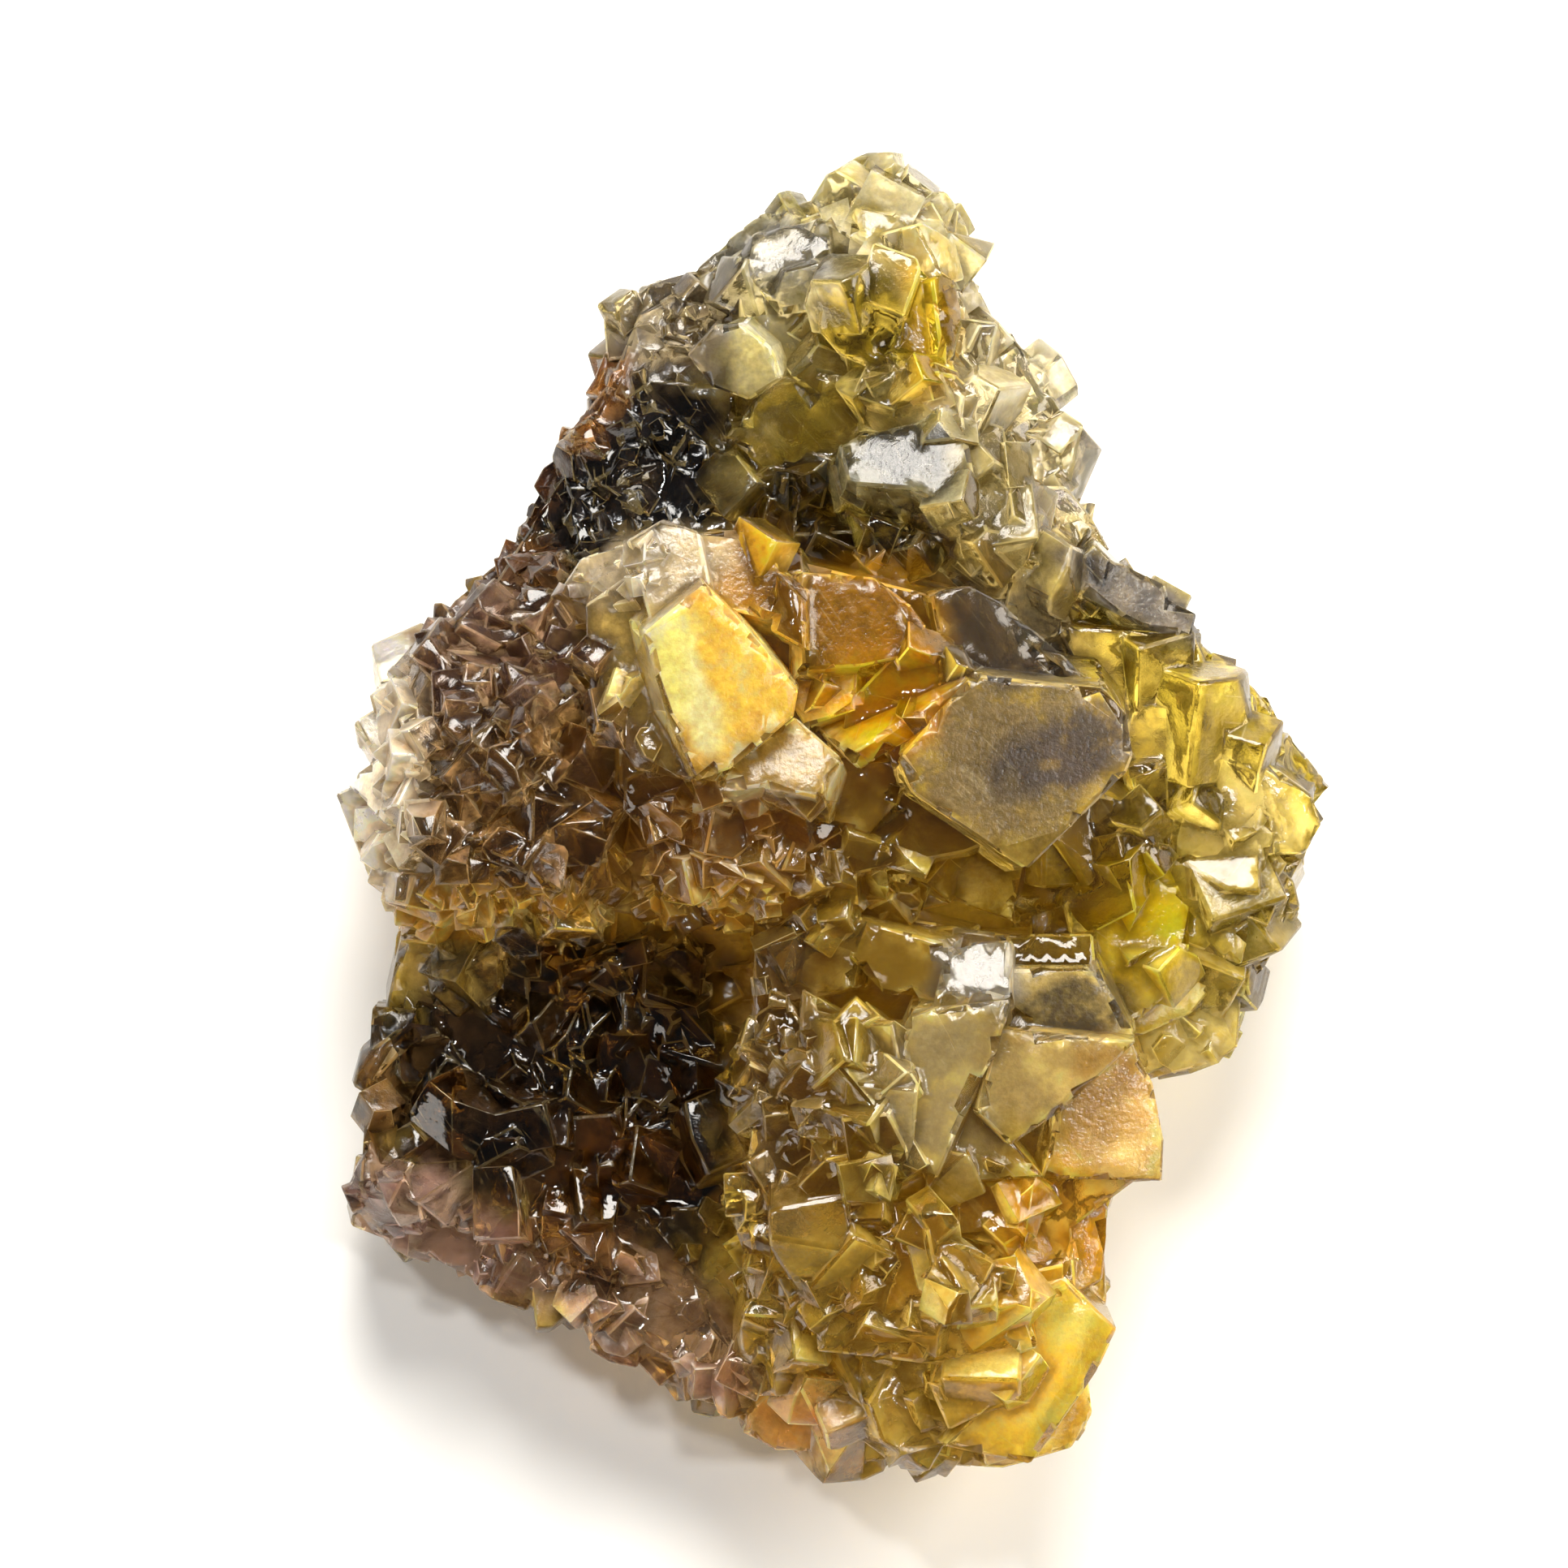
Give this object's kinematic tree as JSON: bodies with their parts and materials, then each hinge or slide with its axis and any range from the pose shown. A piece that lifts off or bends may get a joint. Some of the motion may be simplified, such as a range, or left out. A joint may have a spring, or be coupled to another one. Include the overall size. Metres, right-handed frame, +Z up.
{
  "type": "fluorite crystal cluster",
  "caption": "Hand-sized cluster of intergrown yellow and amber fluorite crystals that lies on its broken back with the crystal faces up.",
  "frame": {"origin": "on the surface that the cluster lies on, under the middle of its bounding box", "axes": "+Z up, away from the broken back, +Y along the cluster towards its pale pointed crown, +X towards the flank opposite the brown druse lobe"},
  "size_m": [0.0614, 0.0818, 0.0329],
  "materials": {
    "fluorite": "natural satin crystal faces with glassy cleavages, yellow to amber, smoky in the hollow"
  },
  "bodies": {
    "root": {"fluorite_cluster": "fluorite"}
  },
  "joints": []
}
